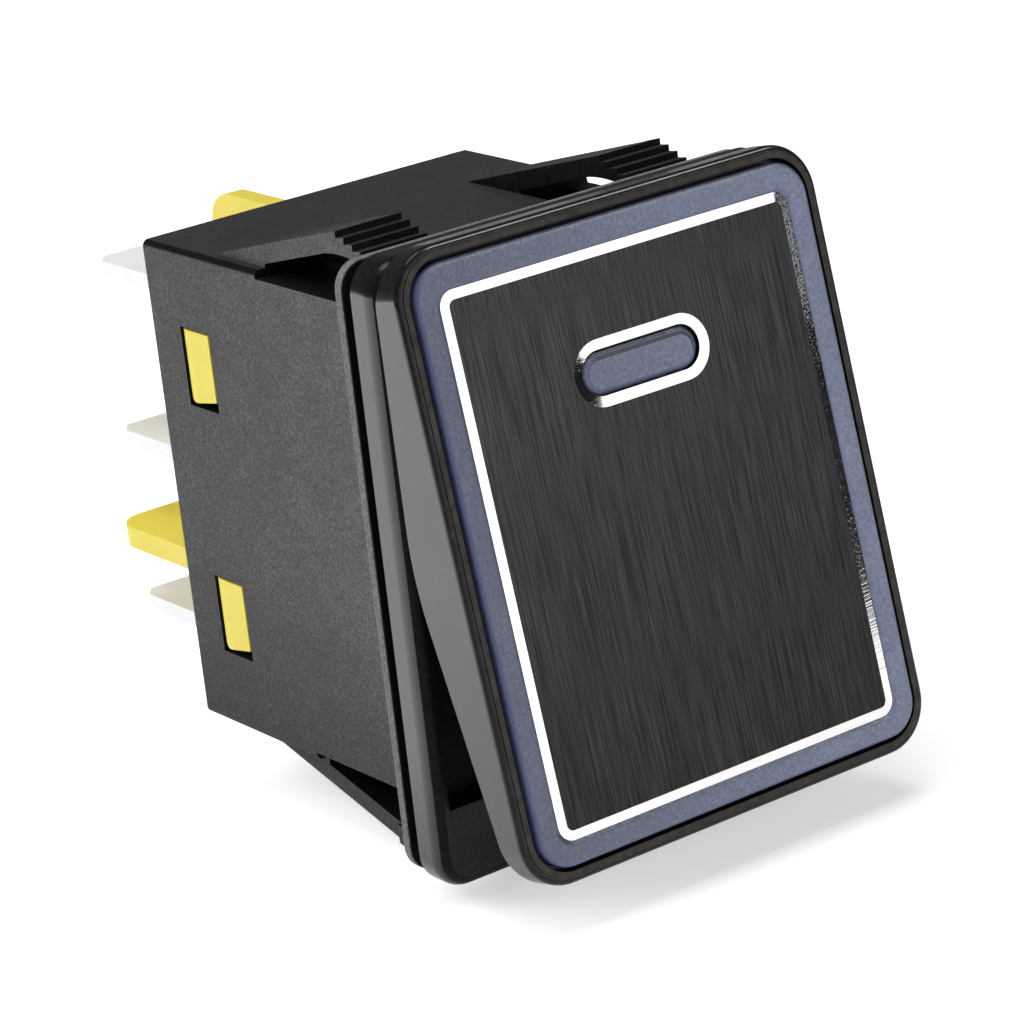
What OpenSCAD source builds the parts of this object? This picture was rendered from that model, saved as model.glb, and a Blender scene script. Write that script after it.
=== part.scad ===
// Illuminated snap-in rocker switch, double pole, with a lit lens round a brushed face plate.
// X runs to the right seen from the front, Y to the rear and Z up. Lengths are in millimetres.
// The origin is the middle of the panel seat, which is the rear face of the gasket.
// Modules draw the switch face up, with z towards the front, and stand() turns it into the frame.

/* [Bezel and gasket] */
// Width of the bezel
bezel_w = 25.5; // [25:0.1:28]
// Height of the bezel
bezel_h = 32.1; // [31.5:0.1:35]
// Thickness of the bezel
bezel_t = 1.85; // [1.6:0.05:2.2]
// Corner radius of the bezel
bezel_corner = 1.8; // [1.2:0.1:2.5]
// Rounding of the bezel's front edge
bezel_edge = 0.85; // [0.4:0.05:1]
// Width of the bar left on each side of the front opening
bezel_bar = 0.85; // [0.7:0.05:1.2]
// Depth of the step that the rocker's side walls hang over
recess_d = 0.95; // [0.5:0.05:1.2]
// Thickness of the gasket's sealing lip
lip_t = 0.6; // [0.4:0.05:0.9]
// Height of the groove between the lip and the bezel
groove_t = 0.9; // [0.6:0.05:1.2]
// Depth of that groove
groove_d = 0.9; // [0.4:0.05:1.2]
// Distance of the lip's sides inside the bezel's sides
lip_side = 0.1; // [0.05:0.01:0.3]
// Distance of the lip's ends inside the bezel's ends
lip_end = 0.34; // [0.2:0.02:0.6]
// Corner radius of the gasket's lip
lip_corner = 1.4; // [1:0.1:2]
// Room between the gasket and the body inside it
gasket_clear = 0.05; // [0.02:0.01:0.2]

/* [Body] */
// Width of the body behind the panel
body_w = 21; // [20.6:0.1:22]
// Height of the body behind the panel
body_h = 26.3; // [25.8:0.1:27.5]
// Depth of the body behind the panel seat
body_d = 21.1; // [20.8:0.05:23]
// Radius of the body's long edges
body_corner = 0.35; // [0.3:0.05:1]
// Thickness of the body's side walls
wall_side = 1.3; // [1.1:0.05:1.5]
// Thickness of the body's top and bottom walls
wall_end = 1.45; // [1.2:0.05:1.6]
// Distance of the windows from the body's rear edge
window_back = 2.65; // [2.4:0.05:3.1]
// Length of the windows along the depth
window_d = 2.75; // [2.6:0.05:3]
// Distance of the windows from the body's top and bottom
window_end = 4.2; // [3.8:0.05:4.5]
// Height of the windows
window_h = 4.25; // [4:0.05:4.5]
// Thickness of the trunnion bosses
boss_t = 0.6; // [0.4:0.05:0.8]
// Wall round the trunnion bores
boss_wall = 0.6; // [0.4:0.05:0.8]
// Depth of the trunnion bores into the side walls
bore_in_wall = 0.7; // [0.4:0.05:0.8]
// Thickness of the corner ribs that stop the base
rib_t = 0.85; // [0.6:0.05:1]
// Height of the corner ribs
rib_h = 1.3; // [1:0.05:1.5]
// Distance of the ribs' front ends behind the panel seat
rib_y = 3; // [2:0.5:6]

/* [Snap arms] */
// Distance of the arms' inner sides from the body's sides
arm_side = 4.4; // [4.1:0.05:4.7]
// Width of the arms' ramps
arm_w = 3.7; // [3.2:0.05:3.9]
// Further width of the toothed ends
tooth_flare = 0.25; // [0.1:0.05:0.5]
// Distance of the arms' roots behind the panel seat
arm_root = 15.2; // [14.5:0.1:15.9]
// Distance of the pockets' rear ends behind the panel seat
pocket_y = 10.55; // [9.5:0.05:11.5]
// Depth of the pockets under the arms
pocket_d = 0.42; // [0.2:0.02:0.6]
// Thickness of the arms, measured along the height
arm_t = 1; // [0.85:0.05:1.2]
// Distance of the toothed ends' rear sides behind the panel seat
block_y = 4.4; // [4.2:0.05:4.8]
// Distance of the first tooth behind the panel seat
tooth_y = 3.4; // [3.3:0.05:3.7]
// Rise of the first tooth over the body
tooth_rise = 3; // [2.8:0.01:3.4]
// Further rise of the lower arms over the body
low_lift = 0.3; // [0:0.02:0.4]
// Number of teeth
tooth_n = 4; // [3:1:4]
// Step from tooth to tooth along the depth
tooth_pitch = 0.68; // [0.6:0.01:0.7]
// Step from tooth to tooth along the height
tooth_drop = 0.245; // [0.2:0.005:0.28]
// Height of each tooth's steep side
tooth_h = 0.34; // [0.3:0.01:0.4]
// Distance of the arms' tips behind the panel seat
arm_tip = 0.8; // [0.7:0.05:0.95]
// Depth of the arch under each toothed end
arch_d = 0.3; // [0.15:0.01:0.4]

/* [Rocker] */
// Distance of the rocker's side walls inside the bezel's sides
rocker_side = 0; // [0:0.05:0.2]
// Distance of the rocker's ends inside the bezel's ends
rocker_end = 0.4; // [0.25:0.05:0.65]
// Corner radius of the rocker
rocker_corner = 2.6; // [2.2:0.05:3]
// Rounding of the rocker's front edge
rocker_edge = 0.3; // [0.2:0.02:0.5]
// Tilt of the rocker to either side of its middle position
rocker_tilt = 11; // [10:0.1:11.9]
// Distance of the rocker's axis in front of the panel seat
pivot_front = 0.5; // [0.4:0.05:0.8]
// Gap between the bezel's face and the side walls' rear corner
skirt_gap = 0.64; // [0.6:0.01:1]
// Angle left between the side walls' rear edges and the bezel's face when pressed
skirt_ease = 1.6; // [0.8:0.1:1.8]
// Rounding of the side walls' rear corner
skirt_round = 15; // [8:0.5:20]
// Distance of the deck's rear face in front of the side walls' rear corner
deck_l = 2.51; // [2.41:0.05:2.71]
// Thickness of the deck behind the lens
deck_t = 0.9; // [0.7:0.05:1]
// Thickness of the rocker's walls behind the deck
rocker_wall = 1.05; // [0.9:0.05:1.3]
// Height of the raised rim over the rocker's rounded edge
rim_step = 0.08; // [0.06:0.02:0.2]
// Distance of the raised rim from the rocker's outer side
rim_inset = 0.36; // [0.24:0.02:0.44]
// Radius of the trunnion pins
pin_r = 1.2; // [1:0.05:1.25]
// Running clearance round pins and plungers
run_clear = 0.05; // [0.02:0.01:0.08]
// Thickness of the cheeks that carry the pins
cheek_t = 1.1; // [0.9:0.05:1.3]
// Half height of the cheeks
cheek_r = 2.3; // [2:0.05:2.5]
// Side play between the cheeks and the bosses
cheek_gap = 0.2; // [0.1:0.05:0.3]
// End play of the pins
pin_gap = 0.15; // [0.1:0.05:0.25]

/* [Lens and face plate] */
// Thickness of the lens
lens_t = 1; // [0.98:0.01:1.3]
// Height of the lens's face over the raised rim
lens_proud = 0.3; // [0.2:0.02:0.5]
// Width of the rocker's rim on each side of the lens
lens_side = 0.89; // [0.84:0.01:1.1]
// Height of the rocker's rim at each end of the lens
lens_end = 0.87; // [0.84:0.01:1.1]
// Corner radius of the lens
lens_corner = 1.8; // [1.5:0.05:2]
// Rounding of the lens's front edge
lens_edge = 0.3; // [0.2:0.02:0.5]
// Width of the slope at the lens's inner edge round the face plate
lens_lip = 0.3; // [0.2:0.02:0.5]
// Room round the lens in the rocker
lens_clear = 0.23; // [0.05:0.01:0.3]
// Width of the lens shown on each side of the face plate
plate_side = 1.27; // [1:0.01:1.5]
// Height of the lens shown at each end of the face plate
plate_end = 1.3; // [1:0.02:1.5]
// Distance of the face plate's middle below the lens's middle
plate_drop = 0.1; // [0:0.02:0.2]
// Distance of the face plate's face behind the lens's face
plate_low = 0.12; // [0.06:0.02:0.3]
// Thickness of the face plate
plate_t = 0.5; // [0.4:0.02:0.6]
// Corner radius of the face plate
plate_corner = 0.85; // [0.8:0.05:1.2]
// Width of the bright cut along the plate's edge
cut_w = 0.48; // [0.4:0.01:0.75]
// Depth of the bright cut along the plate's edge
cut_d = 0.06; // [0.04:0.02:0.2]
// Room round the face plate in the lens
plate_clear = 0.03; // [0.02:0.01:0.1]
// Distance of the indicator slot from the face plate's upper end
pill_end = 5.93; // [5.5:0.01:7.5]
// Width of the indicator slot
pill_w = 7.15; // [6:0.05:8]
// Height of the indicator slot
pill_h = 2.25; // [2:0.01:2.6]
// Width of the bright cut round the indicator slot
pill_cut = 0.52; // [0.3:0.02:0.6]
// Depth of the bright cut round the indicator slot
pill_cut_d = 0.1; // [0.06:0.02:0.2]
// Distance of the lens's island behind the plate's face
island_low = 0.16; // [0.06:0.02:0.2]
// Rounding of the island's edge
island_edge = 0.28; // [0.1:0.01:0.3]

/* [Lamp] */
// Width of the lamp board outside the cheeks
board_rim = 1.2; // [0.9:0.1:1.6]
// Height of the lamp board beyond the contact studs
board_end = 1.6; // [1.3:0.1:1.8]
// Thickness of the lamp board
board_t = 0.75; // [0.6:0.05:0.8]
// Room round the posts and cheeks in the board
board_clear = 0.15; // [0.1:0.05:0.2]
// Width of the lamps
led_w = 2; // [1.6:0.1:2.2]
// Height of the lamps across the board
led_h = 1.25; // [1:0.05:1.4]
// Thickness of the lamps
led_t = 0.6; // [0.4:0.05:0.65]
// Room round the lamps in the deck
led_clear = 0.3; // [0.2:0.05:0.4]
// Distance of the border lamps from the board's sides
led_side = 1.6; // [1.4:0.1:2.1]
// Distance of the border lamps from the board's ends
led_end = 1.6; // [1.2:0.1:2.6]
// Size of the series resistors along the height
resistor_l = 2; // [1.6:0.1:2.5]
// Width of the series resistors
resistor_w = 1.25; // [1:0.05:1.5]
// Thickness of the series resistors
resistor_t = 0.5; // [0.4:0.05:0.6]
// Distance of the resistors from the middle, along the height
resistor_z = 6; // [5:0.1:7]
// Radius of the board's contact studs
stud_r = 0.6; // [0.4:0.05:0.65]
// Height of the board's contact studs
stud_t = 0.8; // [0.5:0.05:0.9]
// Distance of the contact studs inside the terminal row
stud_inset = 0.75; // [0.65:0.05:0.95]
// Mean radius of the lamp springs
lamp_coil_r = 1.1; // [1.05:0.05:1.2]
// Wire of the lamp springs
lamp_wire = 0.26; // [0.2:0.02:0.3]
// Number of turns of the lamp springs
lamp_turns = 11; // [8:1:13]

/* [Contacts] */
// Distance of the plungers' tips from the rocker's axis
tip_reach = 11; // [10.5:0.1:11.2]
// Radius of the plungers' round tips
tip_r = 0.9; // [0.7:0.05:1]
// Radius of the plungers
plunger_r = 1.25; // [1.15:0.05:1.3]
// Length of the plungers
plunger_l = 8.4; // [8:0.1:8.8]
// Length of the plungers' narrow ends
nose_l = 2.5; // [2:0.1:2.8]
// Wall of the plunger posts
post_wall = 0.9; // [0.7:0.05:1]
// Length of the posts behind the axis
post_l = 6.5; // [6:0.1:6.8]
// Thickness of the posts' closed ends behind the deck
post_floor = 0.8; // [0.5:0.05:1]
// Mean radius of the plunger springs
coil_r = 0.9; // [0.8:0.02:0.95]
// Wire of the plunger springs
coil_wire = 0.3; // [0.24:0.02:0.36]
// Number of turns of the plunger springs
coil_turns = 9; // [7:1:11]
// Room between a spring and the moving piece that it pushes
spring_gap = 0.06; // [0.03:0.01:0.1]
// Room between the plungers' tips and the bridges
tip_gap = 0.35; // [0.33:0.01:0.4]
// Thickness of the contact bridges
bridge_t = 0.7; // [0.6:0.02:0.75]
// Width of the contact bridges
bridge_w = 4.4; // [3.8:0.1:4.8]
// Bend of each bridge arm
bridge_bend = 18; // [17.5:0.1:19]
// Tilt of the bridges to either side
bridge_throw = 8; // [7.5:0.1:8.5]
// Length of the arms that carry the contacts
contact_arm = 8.6; // [8.3:0.1:8.8]
// Length of the arms that rest on the stops
rest_arm = 6.4; // [6:0.1:6.8]
// Radius of the bridges' pivot ridges
ridge_r = 0.5; // [0.45:0.01:0.55]
// Running clearance under the pivot ridges
ridge_clear = 0.06; // [0.04:0.01:0.08]
// Depth of the pivot grooves in the supply terminals
ridge_seat = 0.2; // [0.14:0.01:0.24]
// Distance of the moving contacts along their arms
contact_l = 7.1; // [7:0.05:7.2]
// Radius of the moving contacts
contact_r = 1.3; // [1.1:0.05:1.35]
// Height of the moving contacts' edges
contact_t = 0.45; // [0.35:0.05:0.6]
// Radius of the moving contacts' domes
dome_r = 4; // [3.8:0.1:5]
// Radius of the fixed contacts
fixed_r = 1.5; // [1.4:0.05:1.6]
// Height of the fixed contacts
fixed_t = 0.6; // [0.5:0.05:0.8]
// Radius of the rivet shanks
shank_r = 0.65; // [0.5:0.05:0.75]
// Height of the rivets' rear heads
rivet_t = 0.25; // [0.2:0.01:0.3]
// Radius of the rivets' rear heads
rivet_r = 0.95; // [0.85:0.05:1]
// Room round the rivet shanks
rivet_clear = 0.03; // [0.02:0.01:0.05]
// Gap of the closed contacts
contact_gap = 0.06; // [0.04:0.01:0.1]

/* [Terminals] */
// Distance of the terminal columns from the body's inner sides
col_side = 4.35; // [4.25:0.01:4.4]
// Distance of the outer terminal rows from the body's inner ends
row_end = 2.1; // [1.95:0.01:2.2]
// Width of the blades
blade_w = 6.3; // [5.8:0.1:6.4]
// Thickness of the blades
blade_t = 0.8; // [0.7:0.05:0.9]
// Length of the blades behind the body
blade_l = 10.3; // [7.55:0.05:11]
// Length of the slanted corners at the blades' tips
blade_slant = 1.3; // [0.8:0.1:1.6]
// Setback of the slanted corners
blade_setback = 0.9; // [0.5:0.05:1.2]
// Bevel of the blades' tips
blade_bevel = 0.22; // [0.1:0.02:0.3]
// Thickness of the terminals inside the base
stem_t = 1; // [0.95:0.05:1.2]
// Width of the terminals' feet
foot_w = 5.2; // [5:0.1:5.8]
// Thickness of the feet
foot_t = 0.8; // [0.7:0.05:1]
// Half height of the supply terminals' feet
foot_h = 1.6; // [1.3:0.05:1.8]
// Half height of the lamp terminals' feet
lamp_foot_h = 1.4; // [1.3:0.05:1.6]
// Height of the nibs inside the lamp springs
nib_t = 0.7; // [0.4:0.05:0.9]
// Radius of the nibs inside the lamp springs
nib_r = 0.8; // [0.6:0.05:0.85]

/* [Base] */
// Room round the base in the body
base_clear = 0.1; // [0.05:0.01:0.15]
// Distance of the base's rear face inside the body's rear edge
base_inset = 0.55; // [0.3:0.05:0.8]
// Thickness of the base plate
base_t = 3.3; // [2.8:0.05:3.6]
// Room round the terminals in the base
slot_clear = 0.05; // [0.03:0.01:0.1]
// Wall of the pedestals under the feet, on each side of the slots
pedestal_wall = 0.15; // [0.1:0.01:0.18]
// Thickness of the base's side skirts
skirt_t = 1.2; // [1:0.05:1.3]
// Height of the base's side skirts in front of the plate
skirt_l = 4; // [3:0.1:4.6]
// Height of the latches' outer faces over the body's sides
latch_proud = 0.03; // [0:0.01:0.15]
// Gap between the latches and the windows' front sides
latch_front = 0.1; // [0.05:0.01:0.2]
// Gap between the latches and the windows' rear sides
latch_rear = 0.05; // [0.05:0.05:0.5]
// Gap between the latches and the windows' upper sides
latch_top = 0.1; // [0.05:0.01:0.2]
// Gap between the latches' rear ends and the windows' lower sides
latch_low = 0.1; // [0.05:0.01:0.2]
// Rise of the latches' lower sides towards the front
latch_slant = 0.46; // [0.2:0.02:0.6]
// Rounding of the latches' lower rear corners
latch_corner = 0.85; // [0.5:0.05:1]
// Length of the soft rear edge of the latches' outer faces
latch_round = 1; // [0.6:0.05:1.2]
// Depth of that soft rear edge
latch_fall = 0.25; // [0.15:0.01:0.4]
// Thickness of the upright barrier
mid_t = 1.2; // [1:0.05:1.4]
// Distance of the upright barrier's edges inside the body's top and bottom
mid_end = 0.99; // [0.45:0.01:1.4]
// Length of the upright barrier behind the body
mid_l = 9.35; // [8.55:0.05:11.5]
// Corner radius of the upright barrier
mid_corner = 1.9; // [1.5:0.1:3]
// Thickness of the level barrier
shelf_t = 1.2; // [0.9:0.05:1.3]
// Distance of the level barrier below the middle between its two terminal rows
shelf_low = -0.16; // [-0.2:0.01:0.3]
// Distance of the level barrier's edges inside the body's sides
shelf_side = 0.4; // [0.1:0.05:1]
// Length of the level barrier behind the body
shelf_l = 7.9; // [5.55:0.05:9]
// Corner radius of the level barrier
shelf_corner = 1.6; // [0.5:0.1:2.5]
// Room between the barriers and the body's rear edge
barrier_gap = 0.15; // [0.1:0.05:0.3]
// Distance of the stops from the middle
stop_z = 4.6; // [4.4:0.05:4.8]
// Thickness of the stops
stop_t = 1.4; // [1:0.05:1.5]
// Width of the stops
stop_w = 3.6; // [3:0.1:4]
// Room between the stops and the resting bridge arms
stop_gap = 0.15; // [0.1:0.01:0.25]

/* [Hidden] */
$fn = 48;
// Overlap used where two shapes of one piece are joined or cut
lap = 0.4;
// Steps in curves drawn by points
curve_n = 8;
// First slope and bow of the curve under the arms' toothed ends
arch_lead = 1.6;
arch_bow = 2.4;
wire_n = 6;
turn_n = 14;
// Spacing of the closed end turns, in wire thicknesses
end_pitch = 1.15;

bezel_back = lip_t + groove_t;
bezel_front = bezel_back + bezel_t;
recess_z = bezel_front - recess_d;
cavity_w = body_w - 2 * wall_side;
cavity_h = body_h - 2 * wall_end;
window_y = body_d - window_back - window_d;
window_z = body_h / 2 - window_end - window_h;
arm_x = body_w / 2 - arm_side;
bore_r = pin_r + run_clear;
boss_face = cavity_w / 2 - boss_t;
bore_end = cavity_w / 2 + bore_in_wall;
cheek_face = boss_face - cheek_gap;

rocker_w = bezel_w - 2 * rocker_side;
rocker_h = bezel_h - 2 * rocker_end;
skirt_slope = rocker_tilt - skirt_ease;
lens_w = rocker_w - 2 * lens_side;
lens_h = rocker_h - 2 * lens_end;
plate_w = lens_w - 2 * plate_side;
plate_h = lens_h - 2 * plate_end;
pill_z = plate_h / 2 - plate_drop - pill_end;

skirt_back = bezel_front - pivot_front + skirt_gap;
deck_back = skirt_back + deck_l;
lens_back = deck_back + deck_t;
lens_front = lens_back + lens_t;
rim_front = lens_front - lens_proud;
edge_front = rim_front - rim_step;
plate_front = lens_front - plate_low;
pocket_w = lens_w + 2 * lens_clear;
pocket_h = lens_h + 2 * lens_clear;
col_x = cavity_w / 2 - col_side;
row_z = cavity_h / 2 - row_end;
stud_z = row_z - stud_inset;
board_back = deck_back - board_t;
board_w = 2 * (cheek_face + board_rim);
board_h = 2 * (stud_z + board_end);
led_x = board_w / 2 - led_side;
led_z = board_h / 2 - led_end;

post_bore = plunger_r + run_clear;
post_r = post_bore + post_wall;
post_top = deck_back - post_floor;
plunger_top = plunger_l - tip_reach;

ridge_z = pivot_front - tip_reach - bridge_t / 2 - tip_gap;
rest_slope = bridge_bend - bridge_throw;
dome_h = dome_r - sqrt(dome_r * dome_r - contact_r * contact_r);
dome_c = dome_r - dome_h - contact_t - bridge_t / 2;
touch_y = dome_c * sin(rest_slope) - contact_l * cos(rest_slope);
touch_z = ridge_z + contact_l * sin(rest_slope) + dome_c * cos(rest_slope) - dome_r;
fixed_face = touch_z - contact_gap;
foot_front = fixed_face - fixed_t;
foot_back = foot_front - foot_t;
saddle_z = ridge_z - ridge_r - ridge_clear + ridge_seat;

base_w = cavity_w - 2 * base_clear;
base_h = cavity_h - 2 * base_clear;
base_back = -body_d + base_inset;
base_front = base_back + base_t;
stem_back = base_back;
slot_w = blade_w + 2 * slot_clear;
slot_h = stem_t + 2 * slot_clear;
blade_y = body_d + blade_l;
barrier_front = -body_d - barrier_gap;
mid_h = body_h - 2 * mid_end;
shelf_w = body_w - 2 * shelf_side;
shelf_z = -row_z / 2 - shelf_low;
stop_top = ridge_z + stop_z * tan(rest_slope) - bridge_t / 2 / cos(rest_slope) - stop_gap;

stud_y = stud_z * cos(rocker_tilt) + board_back * sin(rocker_tilt);
stud_top = pivot_front - stud_z * sin(rocker_tilt) + board_back * cos(rocker_tilt);
lamp_coil_y = (stud_y + row_z) / 2;
lamp_coil_top = stud_top - (lamp_coil_r + lamp_wire) * tan(rocker_tilt) - spring_gap;

// Turns the switch from face up into its frame
module stand() {
    rotate([90, 0, 0])
        children();
}

// Places what rides on the rocker, drawn about its axis
module tilted() {
    stand()
        translate([0, 0, pivot_front])
            rotate([-rocker_tilt, 0, 0])
                children();
}

// Places what rides on a contact bridge, drawn about its ridge
module see_saw(side) {
    stand()
        translate([side * col_x, 0, ridge_z])
            rotate([bridge_throw, 0, 0])
                children();
}

module round_rect(w, h, r) {
    square([w - 2 * r, h], center = true);
    square([w, h - 2 * r], center = true);
    for (i = [-1, 1], j = [-1, 1])
        translate([i * (w / 2 - r), j * (h / 2 - r)])
            circle(r);
}

module slab(w, h, r, z0, z1) {
    translate([0, 0, z0])
        linear_extrude(z1 - z0)
            round_rect(w, h, r);
}

// Block between two depths, centred across
module block(w, h, z0, z1) {
    translate([-w / 2, -h / 2, z0])
        cube([w, h, z1 - z0]);
}

// Drawing across the switch, pushed out along X
module along_x(w) {
    rotate([90, 0, 90])
        linear_extrude(w, center = true)
            children();
}

// Slab whose edge follows a drawn profile of width r
module framed_slab(w, h, r, z0, z1) {
    cx = w / 2 - r;
    cy = h / 2 - r;
    translate([0, 0, z0]) {
        block(2 * cx, 2 * cy, 0, z1 - z0);
        for (i = [0, 1]) {
            rotate([0, 0, 180 * i])
                translate([cx, 0, 0])
                    rotate([90, 0, 0])
                        linear_extrude(2 * cy, center = true)
                            children();
            rotate([0, 0, 180 * i])
                translate([0, cy, 0])
                    along_x(2 * cx)
                        children();
            rotate([0, 0, 180 * i])
                translate([cx, cy, 0])
                    rotate_extrude(angle = 90)
                        children();
            rotate([0, 0, 180 * i])
                translate([-cx, cy, 0])
                    rotate([0, 0, 90])
                        rotate_extrude(angle = 90)
                            children();
        }
    }
}

module rounded_profile(r, t, edge) {
    difference() {
        square([r, t]);
        translate([r - edge, t - edge])
            difference() {
                square([edge + lap, edge + lap]);
                circle(edge);
            }
    }
}

module soft_slab(w, h, r, edge, z0, z1) {
    framed_slab(w, h, r, z0, z1)
        rounded_profile(r, z1 - z0, edge);
}

// Long round-ended solid with a drawn half profile
module pill(l) {
    for (i = [-1, 1])
        translate([i * l / 2, 0, 0])
            rotate([0, 0, -90 * i])
                rotate_extrude(angle = 180)
                    children();
    along_x(l) {
        children();
        mirror([1, 0])
            children();
    }
}

function coil_rise(t, turns, wire, rise) =
    t < 1 ? end_pitch * wire * t
    : t > turns - 1 ? rise - end_pitch * wire * (turns - t)
    : end_pitch * wire + (t - 1) / (turns - 2) * (rise - 2 * end_pitch * wire);

function coil_at(t, j, r, wire, turns, rise) =
    let (a = 360 * t, b = 360 * j / wire_n, q = r + wire / 2 * cos(b))
    [q * cos(a), q * sin(a), wire / 2 + coil_rise(t, turns, wire, rise) + wire / 2 * sin(b)];

// Closed-end coil spring of the given overall length, along z
module coil(r, wire, turns, l) {
    n = turns * turn_n;
    pts = [for (k = [0:n], j = [0:wire_n - 1]) coil_at(k / turn_n, j, r, wire, turns, l - wire)];
    sides = [for (k = [0:n - 1], j = [0:wire_n - 1])
        let (m = (j + 1) % wire_n)
        [k * wire_n + j, k * wire_n + m, (k + 1) * wire_n + m, (k + 1) * wire_n + j]];
    first = [for (j = [0:wire_n - 1]) wire_n - 1 - j];
    last = [for (j = [0:wire_n - 1]) n * wire_n + j];
    polyhedron(points = pts, faces = concat(sides, [first, last]));
}

// Height of an arm's outer side at a distance behind the seat, for an arm lifted off the body
function ramp(y, lift) = body_h / 2 + lift + tooth_rise * (arm_root - y) / (arm_root - tooth_y);
function root(lift) = arm_root + lift * (arm_root - tooth_y) / tooth_rise;

// Tooth outline from the first tooth to the arm's tip, as height and depth
function tooth_top(k, lift) = body_h / 2 + lift + tooth_rise - k * tooth_drop;
function teeth(lift) = [for (k = [0:tooth_n - 1], s = [0, 1])
    [tooth_top(k, lift) - s * tooth_h, -(tooth_y - k * tooth_pitch)]];
function arch(lift) = let (top = ramp(block_y, lift) - arm_t)
    [for (i = [0:curve_n])
        let (u = i / curve_n, v = 1 - u)
        [top + arch_d * (arch_lead * v - arch_bow * v * v), -(arm_tip + u * (block_y - arm_tip))]];

module arm_ramp(lift) {
    low = body_h / 2 - pocket_d - lap / 4;
    polygon([[low, -root(lift)], [body_h / 2, -root(lift)],
        [ramp(block_y, lift), -block_y], [ramp(block_y, lift) - arm_t, -block_y],
        [ramp(pocket_y, lift) - arm_t, -pocket_y], [low, -pocket_y]]);
}

module arm_block(lift) {
    tip = tooth_top(tooth_n - 1, lift) - tooth_h;
    polygon(concat([[ramp(block_y, lift), -block_y]], teeth(lift), [[tip, -arm_tip]], arch(lift)));
}

module snap_arm(lift) {
    translate([arm_x + arm_w / 2, 0, 0])
        along_x(arm_w)
            arm_ramp(lift);
    translate([arm_x + (arm_w + tooth_flare) / 2, 0, 0])
        along_x(arm_w + tooth_flare)
            arm_block(lift);
}

// Draws one corner's piece in all four corners
module corners() {
    for (i = [0, 1], j = [0, 1])
        mirror([i, 0, 0])
            mirror([0, j, 0])
                children();
}

module housing() {
    pocket_x = body_w / 2 - arm_x;
    color("#262627")
        stand() {
            difference() {
                union() {
                    slab(body_w, body_h, body_corner, -body_d, bezel_back + lap);
                    soft_slab(bezel_w, bezel_h, bezel_corner, bezel_edge, bezel_back, bezel_front);
                }
                block(cavity_w, cavity_h, -body_d - lap, bezel_front + lap);
                block(bezel_w - 2 * bezel_bar, cavity_h, recess_z, bezel_front + lap);
                for (i = [-1, 1])
                    translate([i * (bore_end - lap / 2), 0, pivot_front])
                        rotate([0, i * 90, 0])
                            translate([0, 0, -bore_in_wall])
                                cylinder(r = bore_r, h = bore_in_wall + lap / 2);
                for (j = [-1, 1])
                    translate([-body_w / 2 - lap, j * (window_z + window_h / 2) - window_h / 2,
                        -window_y - window_d])
                        cube([body_w + 2 * lap, window_h, window_d]);
                corners()
                    translate([arm_x, body_h / 2 - pocket_d, -pocket_y])
                        cube([pocket_x + lap, pocket_d + lap, pocket_y]);
            }
            for (i = [-1, 1])
                translate([i * boss_face, 0, pivot_front])
                    rotate([0, i * 90, 0])
                        difference() {
                            cylinder(r = bore_r + boss_wall, h = boss_t);
                            translate([0, 0, -lap])
                                cylinder(r = bore_r, h = boss_t + 2 * lap);
                        }
            for (i = [0, 1])
                mirror([i, 0, 0]) {
                    snap_arm(0);
                    mirror([0, 1, 0])
                        snap_arm(low_lift);
                }
            corners()
                translate([cavity_w / 2 - rib_t, cavity_h / 2 - rib_h, base_front])
                    cube([rib_t + lap, rib_h + lap, -rib_y - base_front]);
        }
}

module panel_gasket() {
    color("#3a3a3b")
        stand()
            difference() {
                union() {
                    slab(bezel_w - 2 * lip_side, bezel_h - 2 * lip_end, lip_corner, 0, lip_t);
                    slab(bezel_w - 2 * groove_d, bezel_h - 2 * groove_d, lip_corner, 0, bezel_back);
                }
                slab(body_w + 2 * gasket_clear, body_h + 2 * gasket_clear, body_corner + gasket_clear,
                    -lap, bezel_back + lap);
            }
}

// Latch seen from above, with its outer face falling softly to the rear edge
module latch_plan(w, d) {
    fall = [for (i = [0:curve_n])
        let (a = 90 * i / curve_n)
        [w - latch_fall * (1 - cos(a)), d - latch_round * (1 - sin(a))]];
    polygon(concat([[0, d], [0, 0], [w, 0]], fall));
}

// Latch seen from its side, as height and depth, with a slanted lower side and a round lower rear corner
module latch_side(d) {
    top = window_h - latch_top;
    r = latch_corner;
    foot = latch_low + latch_slant * r / d;
    bend = [for (i = [0:curve_n])
        let (u = i / curve_n)
        [latch_low + r * (1 - u) * (1 - u) + (foot - latch_low) * u * u, -d + r * u * u]];
    polygon(concat([[top, 0], [top, -d]], bend, [[latch_low + latch_slant, 0]]));
}

// Latch on the base's right side, in the window whose lower side is at z0
module latch(z0) {
    d = window_d - latch_front - latch_rear;
    w = body_w / 2 + latch_proud - base_w / 2 + lap;
    translate([base_w / 2 - lap, z0, -window_y - latch_front])
        intersection() {
            rotate([-90, 0, 0])
                linear_extrude(window_h)
                    latch_plan(w, d);
            translate([w / 2, 0, 0])
                along_x(w + lap)
                    latch_side(d);
        }
}

// Barrier drawn flat, with its rear corners rounded
module barrier(w, l, r) {
    translate([-w / 2 + r, -l])
        square([w - 2 * r, l]);
    translate([-w / 2, -l + r])
        square([w, l - r]);
    for (i = [-1, 1])
        translate([i * (w / 2 - r), -l + r])
            circle(r);
}

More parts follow.
